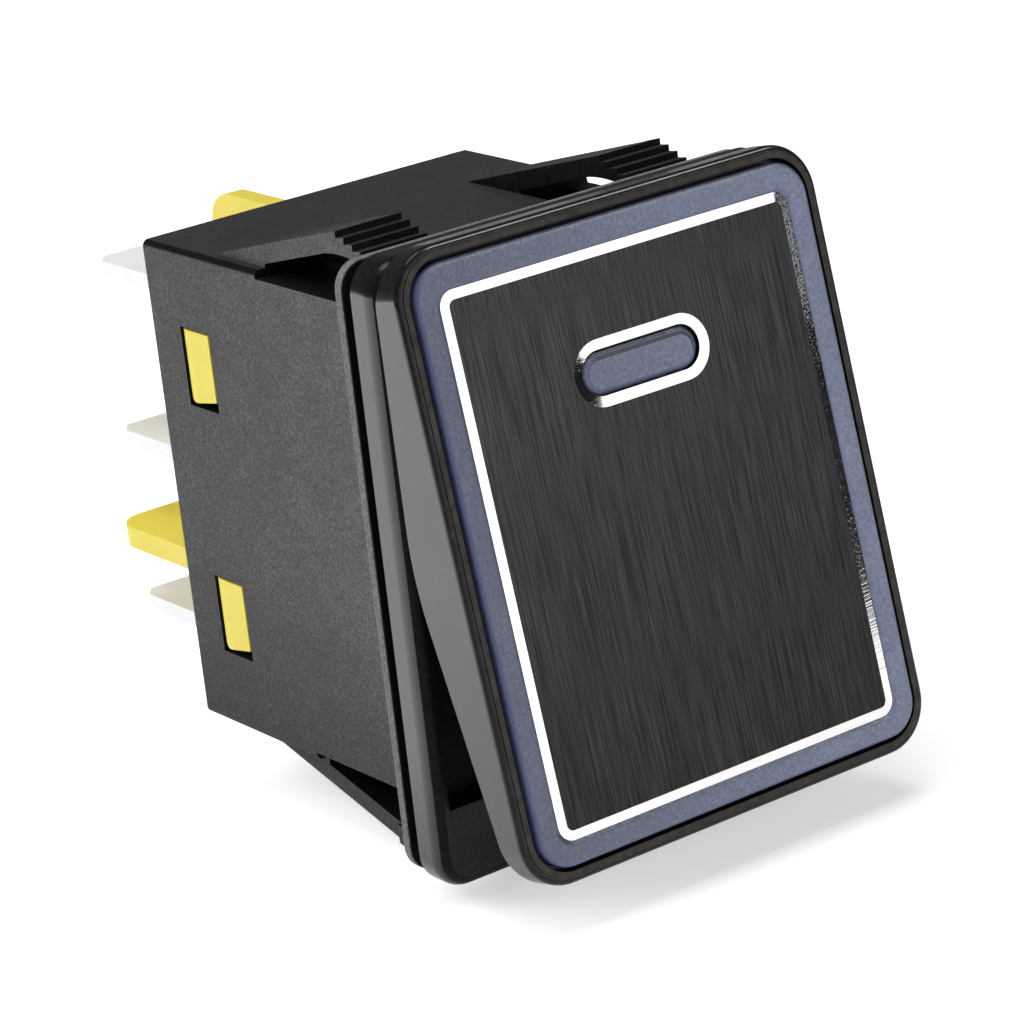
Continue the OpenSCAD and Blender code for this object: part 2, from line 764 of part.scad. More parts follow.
module terminal_base() {
    ped_w = slot_w + 2 * pedestal_wall;
    load_top = touch_y + fixed_r;
    color("#ecd64f")
        stand()
            difference() {
                union() {
                    slab(base_w, base_h, body_corner, base_back, base_front);
                    for (i = [-1, 1]) {
                        translate([i * col_x, 0, 0]) {
                            block(ped_w, 2 * foot_h, base_front - lap, foot_back);
                            translate([0, row_z, 0])
                                block(ped_w, 2 * lamp_foot_h, base_front - lap, foot_back);
                            translate([0, (load_top - row_z - foot_h) / 2, 0])
                                block(ped_w, load_top + row_z + foot_h, base_front - lap, foot_back);
                            translate([0, stop_z + stop_t / 2, 0])
                                block(stop_w, stop_t, base_front - lap, stop_top);
                        }
                        translate([i * (base_w - skirt_t) / 2, 0, 0])
                            block(skirt_t, 2 * (window_z + window_h), base_front - lap, base_front + skirt_l);
                        mirror([i < 0 ? 1 : 0, 0, 0]) {
                            latch(window_z);
                            latch(-window_z - window_h);
                        }
                    }
                    translate([0, shelf_z, 0]) {
                        block(base_w, shelf_t, barrier_front - lap, base_back + lap);
                        translate([0, shelf_t / 2, barrier_front])
                            rotate([90, 0, 0])
                                linear_extrude(shelf_t)
                                    barrier(shelf_w, shelf_l - barrier_gap, shelf_corner);
                    }
                    block(mid_t, base_h, barrier_front - lap, base_back + lap);
                    translate([0, 0, barrier_front])
                        along_x(mid_t)
                            barrier(mid_h, mid_l - barrier_gap, mid_corner);
                }
                for (i = [-1, 1], j = [-1, 0, 1])
                    translate([i * col_x, j * row_z, 0])
                        block(slot_w, slot_h, base_back - lap, foot_back + lap);
            }
}

// Terminal blade with its stem in the base, up to the foot
module blade() {
    intersection() {
        rotate([90, 0, 0])
            linear_extrude(blade_t, center = true)
                polygon([[-blade_w / 2, stem_back + lap], [blade_w / 2, stem_back + lap],
                    [blade_w / 2, blade_slant - blade_y], [blade_w / 2 - blade_setback, -blade_y],
                    [blade_setback - blade_w / 2, -blade_y], [-blade_w / 2, blade_slant - blade_y]]);
        along_x(blade_w + lap)
            polygon([[-blade_t / 2, stem_back + lap], [blade_t / 2, stem_back + lap],
                [blade_t / 2, 2 * blade_bevel - blade_y], [blade_t / 2 - blade_bevel, -blade_y],
                [blade_bevel - blade_t / 2, -blade_y], [-blade_t / 2, 2 * blade_bevel - blade_y]]);
    }
    block(blade_w, stem_t, stem_back, foot_back + foot_t / 2);
}

module lamp_terminal(side) {
    color("#e4e2df")
        stand()
            translate([side * col_x, row_z, 0]) {
                blade();
                block(foot_w, 2 * lamp_foot_h, foot_back, foot_front);
                translate([0, lamp_coil_y - row_z, foot_front - foot_t / 2])
                    cylinder(r = nib_r, h = foot_t / 2 + nib_t);
            }
}

module supply_terminal(side) {
    color("#e4e2df")
        stand()
            translate([side * col_x, 0, 0])
                difference() {
                    union() {
                        blade();
                        block(foot_w, 2 * foot_h, foot_back, saddle_z);
                    }
                    translate([0, 0, ridge_z])
                        rotate([0, 90, 0])
                            cylinder(r = ridge_r + ridge_clear, h = foot_w + lap, center = true);
                }
}

module load_terminal(side) {
    load_top = touch_y + fixed_r;
    color("#e4e2df")
        stand()
            translate([side * col_x, 0, 0])
                difference() {
                    union() {
                        translate([0, -row_z, 0])
                            blade();
                        translate([0, (load_top - row_z - foot_h) / 2, 0])
                            block(foot_w, load_top + row_z + foot_h, foot_back, foot_front);
                    }
                    translate([0, touch_y, foot_back - lap])
                        cylinder(r = shank_r + rivet_clear, h = foot_t + 2 * lap);
                }
}

module fixed_contact(side) {
    color("#d6d3cc")
        stand()
            translate([side * col_x, touch_y, 0]) {
                translate([0, 0, foot_front])
                    cylinder(r = fixed_r, h = fixed_t);
                translate([0, 0, foot_back])
                    cylinder(r = shank_r, h = foot_t + fixed_t / 2);
            }
}

module lamp_spring(side) {
    color("#b9b6ae")
        stand()
            translate([side * col_x, lamp_coil_y, foot_front])
                coil(lamp_coil_r, lamp_wire, lamp_turns, lamp_coil_top - foot_front);
}

// Side view of the rocker's outline, open to the front
module skirt_outline() {
    s = rocker_h / 2 + lap;
    end = skirt_back + s * tan(skirt_slope);
    mid = skirt_back + skirt_round / cos(skirt_slope);
    bend = [for (i = [-curve_n:curve_n])
        let (a = skirt_slope * i / curve_n)
        [skirt_round * sin(a), mid - skirt_round * cos(a)]];
    polygon(concat([[-s, end]], bend, [[s, end], [s, lens_front + lap], [-s, lens_front + lap]]));
}

// Places of the five lamps on the board
module lamp_places() {
    for (i = [-1, 1], j = [-1, 1])
        translate([i * led_x, j * led_z, 0])
            children();
    translate([0, pill_z, 0])
        children();
}

module rocker() {
    pin_l = bore_end - pin_gap - cheek_face;
    color("#1b1b1c")
        tilted() {
            difference() {
                intersection() {
                    union() {
                        soft_slab(rocker_w, rocker_h, rocker_corner, rocker_edge,
                            skirt_back - lap, edge_front);
                        slab(rocker_w - 2 * rim_inset, rocker_h - 2 * rim_inset, rocker_corner - rim_inset,
                            lens_back, rim_front);
                    }
                    along_x(rocker_w + 2 * lap)
                        skirt_outline();
                }
                slab(pocket_w, pocket_h, lens_corner + lens_clear, lens_back, rim_front + lap);
                slab(rocker_w - 2 * rocker_wall, rocker_h - 2 * rocker_wall, rocker_corner - rocker_wall,
                    skirt_back - 2 * lap, deck_back);
                lamp_places()
                    block(led_w + 2 * led_clear, led_h + 2 * led_clear, deck_back - lap, lens_back + lap);
            }
            for (i = [-1, 1]) {
                translate([i * col_x, 0, -post_l])
                    difference() {
                        cylinder(r = post_r, h = post_l + deck_back + deck_t / 2);
                        translate([0, 0, -lap])
                            cylinder(r = post_bore, h = post_l + post_top + lap);
                    }
                translate([i * (cheek_face - cheek_t / 2), 0, 0]) {
                    block(cheek_t, 2 * cheek_r, 0, deck_back + deck_t / 2);
                    rotate([0, 90, 0])
                        cylinder(r = cheek_r, h = cheek_t, center = true);
                }
                translate([i * (cheek_face - cheek_t / 2), 0, 0])
                    rotate([0, i * 90, 0])
                        cylinder(r = pin_r, h = pin_l + cheek_t / 2);
            }
        }
}

// Edge of the recess for the face plate, which slopes out from the plate's cut to the lens's face
module recess_profile(r, t) {
    slope = lens_lip / (plate_low + cut_d);
    polygon([[0, 0], [r, 0], [r, t - plate_low - cut_d],
        [r + lens_lip + lap * slope, t + lap], [0, t + lap]]);
}

module lens() {
    island_h = pill_h - 2 * plate_clear;
    island_t = plate_t - island_low + lap / 2;
    recess_t = plate_low + plate_t;
    color("#77809f")
        tilted() {
            difference() {
                soft_slab(lens_w, lens_h, lens_corner, lens_edge, lens_back, lens_front);
                translate([0, -plate_drop, 0])
                    framed_slab(plate_w + 2 * plate_clear, plate_h + 2 * plate_clear,
                        plate_corner + plate_clear, lens_front - recess_t, lens_front)
                        recess_profile(plate_corner + plate_clear, recess_t);
            }
            translate([0, pill_z, plate_front - plate_t - lap / 2])
                pill(pill_w - pill_h)
                    rounded_profile(island_h / 2, island_t, island_edge);
        }
}

module face_plate() {
    t = plate_t;
    slot_r = pill_h / 2;
    color("#3b3e40")
        tilted()
            difference() {
                translate([0, -plate_drop, 0])
                    framed_slab(plate_w, plate_h, plate_corner, plate_front - t, plate_front)
                        polygon([[0, 0], [plate_corner, 0], [plate_corner, t - cut_d],
                            [plate_corner - cut_w, t], [0, t]]);
                translate([0, pill_z, plate_front - t])
                    pill(pill_w - pill_h)
                        polygon([[0, -lap], [slot_r, -lap], [slot_r, t - pill_cut_d],
                            [slot_r + 2 * pill_cut, t + pill_cut_d], [0, t + pill_cut_d]]);
            }
}

module lamp_board() {
    color("#2f6b45")
        tilted()
            difference() {
                block(board_w, board_h, board_back, deck_back);
                for (i = [-1, 1]) {
                    translate([i * col_x, 0, board_back - lap])
                        cylinder(r = post_r + board_clear, h = board_t + 2 * lap);
                    translate([i * (cheek_face - cheek_t / 2), 0, 0])
                        block(cheek_t + 2 * board_clear, 2 * (cheek_r + board_clear),
                            board_back - lap, deck_back + lap);
                }
            }
}

module led(x, z) {
    color("#f0edd8")
        tilted()
            translate([x, z, 0])
                block(led_w, led_h, deck_back, deck_back + led_t);
}

module resistor(side) {
    color("#2a2a2a")
        tilted()
            translate([side * col_x, -resistor_z, 0])
                block(resistor_w, resistor_l, board_back - resistor_t, board_back);
}

module lamp_stud(side) {
    color("#c9a552")
        tilted()
            translate([side * col_x, stud_z, board_back - stud_t])
                cylinder(r = stud_r, h = stud_t);
}

module plunger_spring(side) {
    color("#b9b6ae")
        tilted()
            translate([side * col_x, 0, plunger_top + spring_gap])
                coil(coil_r, coil_wire, coil_turns, post_top - plunger_top - spring_gap);
}

module plunger(side) {
    color("#e9e6dc")
        tilted()
            translate([side * col_x, 0, -tip_reach]) {
                translate([0, 0, nose_l])
                    cylinder(r = plunger_r, h = plunger_l - nose_l);
                translate([0, 0, tip_r])
                    cylinder(r = tip_r, h = nose_l);
                translate([0, 0, tip_r])
                    sphere(r = tip_r);
            }
}

// Side view of a bridge, about its ridge
module bridge_outline() {
    for (i = [-1, 1])
        rotate(i * bridge_bend)
            translate([i < 0 ? -contact_arm : 0, -bridge_t / 2])
                square([i < 0 ? contact_arm : rest_arm, bridge_t]);
    circle(ridge_r);
}

module contact_bridge(side) {
    color("#c98a4b")
        see_saw(side)
            difference() {
                along_x(bridge_w)
                    bridge_outline();
                rotate([-bridge_bend, 0, 0])
                    translate([0, -contact_l, -bridge_t])
                        cylinder(r = shank_r + rivet_clear, h = 2 * bridge_t);
            }
}

module moving_contact(side) {
    edge = -bridge_t / 2 - contact_t;
    color("#d6d3cc")
        see_saw(side)
            rotate([-bridge_bend, 0, 0])
                translate([0, -contact_l, 0]) {
                    translate([0, 0, edge])
                        cylinder(r = contact_r, h = contact_t);
                    intersection() {
                        translate([0, 0, dome_c])
                            sphere(r = dome_r, $fn = 96);
                        translate([0, 0, edge - dome_h - lap])
                            cylinder(r = contact_r, h = dome_h + lap + contact_t / 2);
                    }
                    translate([0, 0, edge + contact_t / 2])
                        cylinder(r = shank_r, h = contact_t / 2 + bridge_t + rivet_t / 2);
                    translate([0, 0, bridge_t / 2])
                        cylinder(r = rivet_r, h = rivet_t);
                }
}

housing();
panel_gasket();
terminal_base();
lamp_terminal(-1);  // lamp_terminal_left
lamp_terminal(1);  // lamp_terminal_right
supply_terminal(-1);  // supply_terminal_left
supply_terminal(1);  // supply_terminal_right
load_terminal(-1);  // load_terminal_left
load_terminal(1);  // load_terminal_right
fixed_contact(-1);  // fixed_contact_left
fixed_contact(1);  // fixed_contact_right
lamp_spring(-1);  // lamp_spring_left
lamp_spring(1);  // lamp_spring_right
rocker();
lens();
face_plate();
lamp_board();
led(-led_x, led_z);  // led_top_left
led(led_x, led_z);  // led_top_right
led(-led_x, -led_z);  // led_bottom_left
led(led_x, -led_z);  // led_bottom_right
led(0, pill_z);  // led_pill
resistor(-1);  // resistor_left
resistor(1);  // resistor_right
lamp_stud(-1);  // lamp_stud_left
lamp_stud(1);  // lamp_stud_right
plunger_spring(-1);  // plunger_spring_left
plunger_spring(1);  // plunger_spring_right
plunger(-1);  // plunger_left
plunger(1);  // plunger_right
contact_bridge(-1);  // contact_bridge_left
contact_bridge(1);  // contact_bridge_right
moving_contact(-1);  // moving_contact_left
moving_contact(1);  // moving_contact_right
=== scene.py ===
import math
import bpy
import bmesh
from mathutils import Matrix, Vector


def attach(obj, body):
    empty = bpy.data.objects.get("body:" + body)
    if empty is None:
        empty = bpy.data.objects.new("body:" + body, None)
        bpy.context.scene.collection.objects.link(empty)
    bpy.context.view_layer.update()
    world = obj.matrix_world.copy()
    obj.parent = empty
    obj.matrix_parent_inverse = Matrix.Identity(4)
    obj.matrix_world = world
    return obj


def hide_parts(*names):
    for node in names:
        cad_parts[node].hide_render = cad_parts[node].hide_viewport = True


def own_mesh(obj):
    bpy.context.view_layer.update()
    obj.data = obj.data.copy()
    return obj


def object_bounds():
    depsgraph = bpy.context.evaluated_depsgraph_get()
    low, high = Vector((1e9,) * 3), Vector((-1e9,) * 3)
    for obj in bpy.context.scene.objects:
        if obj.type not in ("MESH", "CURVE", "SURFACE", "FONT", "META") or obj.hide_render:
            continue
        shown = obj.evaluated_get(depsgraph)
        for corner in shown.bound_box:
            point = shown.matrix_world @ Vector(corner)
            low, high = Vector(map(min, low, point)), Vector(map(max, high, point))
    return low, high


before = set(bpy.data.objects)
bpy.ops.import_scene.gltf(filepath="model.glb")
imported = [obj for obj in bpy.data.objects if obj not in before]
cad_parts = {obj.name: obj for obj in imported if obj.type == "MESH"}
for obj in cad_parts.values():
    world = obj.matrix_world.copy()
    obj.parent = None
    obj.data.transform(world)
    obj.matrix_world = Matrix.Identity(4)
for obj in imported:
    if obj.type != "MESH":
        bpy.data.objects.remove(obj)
cadLow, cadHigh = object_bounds()
mm = 0.001
rockerTilt = math.radians(11)  # rest pose, upper end pressed
faceOut = Vector((0, -math.cos(rockerTilt), math.sin(rockerTilt)))
faceUp = Vector((0, math.sin(rockerTilt), math.cos(rockerTilt)))
pivot = Vector((0, -0.5 * mm, 0))
xAxis, zAxis = Vector((1, 0, 0)), Vector((0, 0, 1))
print("frame loaded", len(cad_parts), "nodes")

# noise settings that several finishes share
fineGrain = {"detail": 3, "rough": 0.6}
coarseGrain = {"detail": 4, "rough": 0.65}
metalGrain = {"detail": 3, "rough": 0.55}
noiseSpan = (0.3, 0.7)  # where most of a noise lies


# shader pieces shared by the finishes
def newFinish(name):
    mat = bpy.data.materials.new(name)
    mat.use_nodes = True
    tree = mat.node_tree
    tree.nodes.clear()
    out = tree.nodes.new("ShaderNodeOutputMaterial")
    skin = tree.nodes.new("ShaderNodeBsdfPrincipled")
    tree.links.new(skin.outputs["BSDF"], out.inputs["Surface"])
    return mat, tree, skin


def noise(tree, scale, detail=2.0, rough=0.5, stretch=(1, 1, 1), turn=(0, 0, 0)):
    coord = tree.nodes.new("ShaderNodeTexCoord")
    mapping = tree.nodes.new("ShaderNodeMapping")
    mapping.inputs["Scale"].default_value = stretch
    mapping.inputs["Rotation"].default_value = turn
    grain = tree.nodes.new("ShaderNodeTexNoise")
    grain.inputs["Scale"].default_value = scale
    grain.inputs["Detail"].default_value = detail
    grain.inputs["Roughness"].default_value = rough
    tree.links.new(coord.outputs["Object"], mapping.inputs["Vector"])
    tree.links.new(mapping.outputs["Vector"], grain.inputs["Vector"])
    return grain.outputs["Fac"]


def ramp(tree, fac, stops):
    strip = tree.nodes.new("ShaderNodeValToRGB")
    while len(strip.color_ramp.elements) < len(stops):
        strip.color_ramp.elements.new(0.5)
    for knob, (pos, tone) in zip(strip.color_ramp.elements, stops):
        knob.position = pos
        knob.color = (*tone, 1) if isinstance(tone, tuple) else (tone, tone, tone, 1)
    tree.links.new(fac, strip.inputs["Fac"])
    return strip.outputs["Color"]


def spread(tree, grain, low, high):
    return ramp(tree, grain, [(noiseSpan[0], low), (noiseSpan[1], high)])


def rise(tree, fac, start, full):
    return ramp(tree, fac, [(start, 0.0), (full, 1.0)])


def maths(tree, kind, a, b=None):
    step = tree.nodes.new("ShaderNodeMath")
    step.operation = kind
    for i, v in enumerate((a, b)):
        if v is None:
            continue
        if isinstance(v, (int, float)):
            step.inputs[i].default_value = v
        else:
            tree.links.new(v, step.inputs[i])
    return step.outputs[0]


def blend(tree, a, b, share):
    return maths(tree, "ADD", maths(tree, "MULTIPLY", a, 1 - share), maths(tree, "MULTIPLY", b, share))


# a Mix node has its two colours on sockets 6 and 7
def tint(tree, fac, low, high):
    mix = tree.nodes.new("ShaderNodeMix")
    mix.data_type = "RGBA"
    tree.links.new(fac, mix.inputs["Factor"])
    for socket, tone in ((mix.inputs[6], low), (mix.inputs[7], high)):
        if isinstance(tone, tuple):
            socket.default_value = (*tone, 1)
        else:
            tree.links.new(tone, socket)
    return mix.outputs[2]


def shade(tree, tone, grey):
    mix = tree.nodes.new("ShaderNodeMix")
    mix.data_type = "RGBA"
    mix.blend_type = "MULTIPLY"
    mix.inputs["Factor"].default_value = 1
    tree.links.new(tone, mix.inputs[6])
    tree.links.new(grey, mix.inputs[7])
    return mix.outputs[2]


# share of the normal along a direction
def lean(tree, out):
    coord = tree.nodes.new("ShaderNodeTexCoord")
    dot = tree.nodes.new("ShaderNodeVectorMath")
    dot.operation = "DOT_PRODUCT"
    dot.inputs[1].default_value = out
    tree.links.new(coord.outputs["Normal"], dot.inputs[0])
    return dot.outputs["Value"]


# 0 to 1 from one place to another along an axis
def drift(tree, axis, start, end):
    coord = tree.nodes.new("ShaderNodeTexCoord")
    split = tree.nodes.new("ShaderNodeSeparateXYZ")
    span = tree.nodes.new("ShaderNodeMapRange")
    span.inputs["From Min"].default_value = start
    span.inputs["From Max"].default_value = end
    tree.links.new(coord.outputs["Object"], split.inputs[0])
    tree.links.new(split.outputs["XYZ".index(axis)], span.inputs["Value"])
    return span.outputs["Result"]


# painted shade: darkens a tone along an axis, down to the given share at its start
def paintShadeAlong(tree, tone, axis, start, end, least):
    return shade(tree, tone, ramp(tree, drift(tree, axis, start, end), [(0, least), (1, 1.0)]))


def bump(tree, height, strength, depth):
    relief = tree.nodes.new("ShaderNodeBump")
    relief.inputs["Strength"].default_value = strength
    relief.inputs["Distance"].default_value = depth
    tree.links.new(height, relief.inputs["Height"])
    return relief.outputs["Normal"]


# a CAD mesh is loose triangles: merge them, join flat faces and shade the rounds
weld = {"merge": 0.0003 * mm, "flat": math.radians(0.2), "bevelSteps": 2, "bevelAngle": math.radians(50),
        "flatWeight": 80}


def weldedCopy(node, name, body, finishes, sharp=32, soften=0):
    mesh = bpy.data.meshes.new(name)
    bm = bmesh.new()
    bm.from_mesh(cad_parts[node].data)
    bmesh.ops.remove_doubles(bm, verts=bm.verts, dist=weld["merge"])
    bmesh.ops.dissolve_limit(bm, angle_limit=weld["flat"], verts=bm.verts, edges=bm.edges)
    for face in bm.faces:
        face.smooth = True
        face.material_index = 0
    for edge in bm.edges:
        edge.smooth = len(edge.link_faces) == 2 and edge.calc_face_angle(math.pi) < math.radians(sharp)
    bm.to_mesh(mesh)
    bm.free()
    piece = bpy.data.objects.new(name, mesh)
    bpy.context.scene.collection.objects.link(piece)
    for mat in finishes:
        mesh.materials.append(mat)
    if soften:
        edges = piece.modifiers.new("soft edges", "BEVEL")
        edges.width = soften
        edges.segments = weld["bevelSteps"]
        edges.limit_method = "ANGLE"
        edges.angle_limit = weld["bevelAngle"]
    even = piece.modifiers.new("flat faces first", "WEIGHTED_NORMAL")
    even.keep_sharp = True
    even.weight = weld["flatWeight"]
    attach(piece, body)
    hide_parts(node)
    return piece


# each face takes the finish that suits where it lies and looks
def paintFaces(piece, pick):
    for poly in piece.data.polygons:
        poly.material_index = pick(poly.center, poly.normal)


squarely = 0.7  # share of the normal along a direction that counts as facing it


def looksInward(at, out, along):
    return abs(out.dot(along)) > squarely and out.dot(along) * at.dot(along) < 0


# black housing: fine spark texture behind the panel, polished bezel in front of it
housingLook = {
    # the side tone is lighter than the top tone: partly the sides' spark-eroded texture, partly a painted sheen
    # where the sides catch the light
    "side": [(0.32, (0.0475, 0.0475, 0.049)), (0.52, (0.109, 0.109, 0.112)), (0.72, (0.231, 0.231, 0.238))],
    "top": [(0.35, (0.020, 0.020, 0.0206)), (0.70, (0.046, 0.046, 0.0468))],
    "rounds": [(0.05, 1.0), (0.25, 0.12), (0.90, 0.12), (1.0, 1.0)],  # painted shade where a side turns to the top
    # painted shade: the sides darken towards the bottom and towards the rear
    "turn": (0.90, 0.99), "paintedShade": (-13 * mm, -3 * mm, 0.50),
    "depth": (1 * mm, 19 * mm), "rear": [(0, 1.0), (0.4, 0.80), (1, 0.68)],
    "grain": 9000, "cloud": 420, "cloudShare": 0.2, "rough": (0.50, 0.62), "relief": (0.25, 0.04 * mm),
    "specular": 0.12, "polishedAhead": -1.45 * mm, "recessBehind": -3.3 * mm, "pocketBelow": 12.9 * mm,
    "pocketFloor": 0.9}


def texturedPlastic(look):
    mat, tree, skin = newFinish("textured black plastic")
    grain = noise(tree, look["grain"], **fineGrain)
    cloud = noise(tree, look["cloud"])
    speckle = blend(tree, grain, cloud, look["cloudShare"])
    # painted shade: the side tone darkens towards the bottom and towards the rear
    side = paintShadeAlong(tree, ramp(tree, speckle, look["side"]), "Z", *look["paintedShade"])
    side = shade(tree, side, ramp(tree, drift(tree, "Y", *look["depth"]), look["rear"]))
    top = ramp(tree, speckle, look["top"])
    aside = maths(tree, "ABSOLUTE", lean(tree, xAxis))
    # painted sheen: faces turned to the side take the lighter side tone, the rest the darker top tone
    tone = tint(tree, rise(tree, aside, *look["turn"]), top, side)
    # painted shade darkens the rounds between side and top
    tree.links.new(shade(tree, tone, ramp(tree, aside, look["rounds"])), skin.inputs["Base Color"])
    tree.links.new(spread(tree, cloud, *look["rough"]), skin.inputs["Roughness"])
    tree.links.new(bump(tree, grain, *look["relief"]), skin.inputs["Normal"])
    skin.inputs["Specular IOR Level"].default_value = look["specular"]
    return mat


# glossy black plastic: painted sheen on the polished side walls; painted shade, a darker base with less coat, on
# the rounds and ends
glossLook = {"specks": [(0.58, (0.0065, 0.0065, 0.007)), (0.80, (0.030, 0.030, 0.031))],
             "sheenWall": (0.012, 0.012, 0.013), "haze": 900, "dust": 5200, "rough": (0.26, 0.36),
             "coat": (0.08, 0.89), "coatRough": 0.05, "coatIor": 1.75, "specular": 0.12}
# share of the normal along x where the polish and painted sheen start and are full, along z where they stop, and
# the painted shade that darkens them towards the bottom
bezelSheenMask = {"turn": (0.50, 0.97), "stop": (0.10, 0.28), "paintedShade": (-15.5 * mm, -8 * mm, 0.45)}
rockerSheenMask = {"turn": (0.80, 0.98), "stop": (0.16, 0.42), "paintedShade": (-13 * mm, 1 * mm, 0.66)}


def polishedPlastic(name, look, turn, stop, paintedShade):
    mat, tree, skin = newFinish(name)
    haze = noise(tree, look["haze"], **fineGrain)
    dust = noise(tree, look["dust"])
    aside = maths(tree, "ABSOLUTE", lean(tree, xAxis))
    # painted sheen mask: full on the side walls, taken down by painted shade towards the bottom and on the tops
    turned = paintShadeAlong(tree, rise(tree, aside, *turn), "Z", *paintedShade)
    turned = shade(tree, turned, ramp(tree, lean(tree, zAxis), [(stop[0], 1.0), (stop[1], 0.0)]))
    specks = ramp(tree, dust, look["specks"])
    # the masked walls take the lighter wall tone as a painted sheen
    tree.links.new(tint(tree, turned, specks, look["sheenWall"]), skin.inputs["Base Color"])
    tree.links.new(spread(tree, haze, *look["rough"]), skin.inputs["Roughness"])
    tree.links.new(ramp(tree, turned, [(0, look["coat"][0]), (1, look["coat"][1])]), skin.inputs["Coat Weight"])
    skin.inputs["Coat Roughness"].default_value = look["coatRough"]
    skin.inputs["Coat IOR"].default_value = look["coatIor"]
    skin.inputs["Specular IOR Level"].default_value = look["specular"]
    return mat


# painted shade: near-black colour for moulded faces that look inward or lie in a recess
recessShadeLook = {"low": (0.003, 0.003, 0.0032), "high": (0.010, 0.010, 0.0105), "grain": 3000, "rough": 0.6,
              "specular": 0.1}


def paintedRecessShade(look):
    mat, tree, skin = newFinish("painted recess shade")
    grain = noise(tree, look["grain"], **fineGrain)
    tree.links.new(spread(tree, grain, look["low"], look["high"]), skin.inputs["Base Color"])
    skin.inputs["Roughness"].default_value = look["rough"]
    skin.inputs["Specular IOR Level"].default_value = look["specular"]
    return mat


# the flat top of the rocker's raised rim is painted a little paler, a painted reflection
rimLook = {"low": (0.020, 0.019, 0.017), "high": (0.058, 0.056, 0.048), "rimMottle": 1500, "relief": (0.2, 0.03 * mm),
           "rough": 0.5, "specular": 0.2, "above": 7.3 * mm, "flat": 0.99, "backTurned": -0.5}


def paintedRimSheen(look):
    mat, tree, skin = newFinish("painted rim sheen")
    rimMottle = noise(tree, look["rimMottle"], **coarseGrain)
    tree.links.new(spread(tree, rimMottle, look["low"], look["high"]), skin.inputs["Base Color"])
    tree.links.new(bump(tree, rimMottle, *look["relief"]), skin.inputs["Normal"])
    skin.inputs["Roughness"].default_value = look["rough"]
    skin.inputs["Specular IOR Level"].default_value = look["specular"]
    return mat


# painted shade: faces that look inward, forward faces behind the bezel and in its recess, and the pocket floors
# take the near-black recess tone
def housingFace(at, out):
    inward = looksInward(at, out, xAxis) or looksInward(at, out, zAxis)
    if at.y < housingLook["polishedAhead"]:
        stepped = out.y < -squarely and at.y > housingLook["recessBehind"]
        return 2 if inward or stepped else 1
    sunk = abs(out.z) > housingLook["pocketFloor"] and abs(at.z) < housingLook["pocketBelow"]
    return 2 if inward or sunk or out.y < -squarely else 0


# the rim's flat top takes the painted rim reflection; faces that look inward or turn back take the painted recess
# shade
def rockerFace(at, out):
    if out.dot(faceOut) > rimLook["flat"] and (at - pivot).dot(faceOut) > rimLook["above"]:
        return 2
    inward = looksInward(at, out, xAxis) or looksInward(at - pivot, out, faceUp)
    return 1 if inward or out.dot(faceOut) < rimLook["backTurned"] else 0


recessShadeFinish = paintedRecessShade(recessShadeLook)
bezelFinish = polishedPlastic("polished bezel", glossLook, **bezelSheenMask)
housingPiece = weldedCopy("housing", "housing_shell", "switch_body",
                          [texturedPlastic(housingLook), bezelFinish, recessShadeFinish])
paintFaces(housingPiece, housingFace)
rockerFinish = polishedPlastic("polished rocker", glossLook, **rockerSheenMask)
rockerPiece = weldedCopy("rocker", "rocker_shell", "rocker_body",
                         [rockerFinish, recessShadeFinish, paintedRimSheen(rimLook)])
paintFaces(rockerPiece, rockerFace)
print("housing and rocker done")

# sealing gasket
gasketLook = {"low": (0.078, 0.078, 0.082), "high": (0.235, 0.235, 0.243), "grain": 5200,
              "relief": (0.4, 0.05 * mm), "rough": 0.7, "specular": 0.3, "grooveAhead": -0.62 * mm,
              "soften": 0.10 * mm}


def gasketRubber(look):
    mat, tree, skin = newFinish("gasket rubber")
    grain = noise(tree, look["grain"], **coarseGrain)
    tree.links.new(spread(tree, grain, look["low"], look["high"]), skin.inputs["Base Color"])
    tree.links.new(bump(tree, grain, *look["relief"]), skin.inputs["Normal"])
    skin.inputs["Roughness"].default_value = look["rough"]
    skin.inputs["Specular IOR Level"].default_value = look["specular"]
    return mat


# painted shade: the groove and faces turned forward take the near-black recess tone
def gasketFace(at, out):
    return 1 if out.y < -squarely or at.y < gasketLook["grooveAhead"] else 0


gasketPiece = weldedCopy("panel_gasket", "gasket_lip", "switch_body",
                         [gasketRubber(gasketLook), recessShadeFinish], soften=gasketLook["soften"])
paintFaces(gasketPiece, gasketFace)

# yellow terminal base
baseLook = {"tones": [(0.25, (0.79, 0.65, 0.060)), (0.75, (0.84, 0.71, 0.098))], "cloud": 350, "cloudDetail": 3,
            "grain": 6000, "rough": (0.34, 0.46), "relief": (0.08, 0.03 * mm), "glowThrough": 0.12,
            "reach": (1.0, 0.7, 0.2), "scatter": 0.6 * mm, "soften": 0.12 * mm}


def yellowPlastic(look):
    mat, tree, skin = newFinish("yellow moulded plastic")
    cloud = noise(tree, look["cloud"], look["cloudDetail"])
    grain = noise(tree, look["grain"])
    tree.links.new(ramp(tree, cloud, look["tones"]), skin.inputs["Base Color"])
    tree.links.new(spread(tree, grain, *look["rough"]), skin.inputs["Roughness"])
    tree.links.new(bump(tree, grain, *look["relief"]), skin.inputs["Normal"])
    skin.inputs["Subsurface Weight"].default_value = look["glowThrough"]
    skin.inputs["Subsurface Radius"].default_value = look["reach"]
    skin.inputs["Subsurface Scale"].default_value = look["scatter"]
    return mat


weldedCopy("terminal_base", "yellow_base", "switch_body", [yellowPlastic(baseLook)],
           soften=baseLook["soften"])
print("gasket and base done")

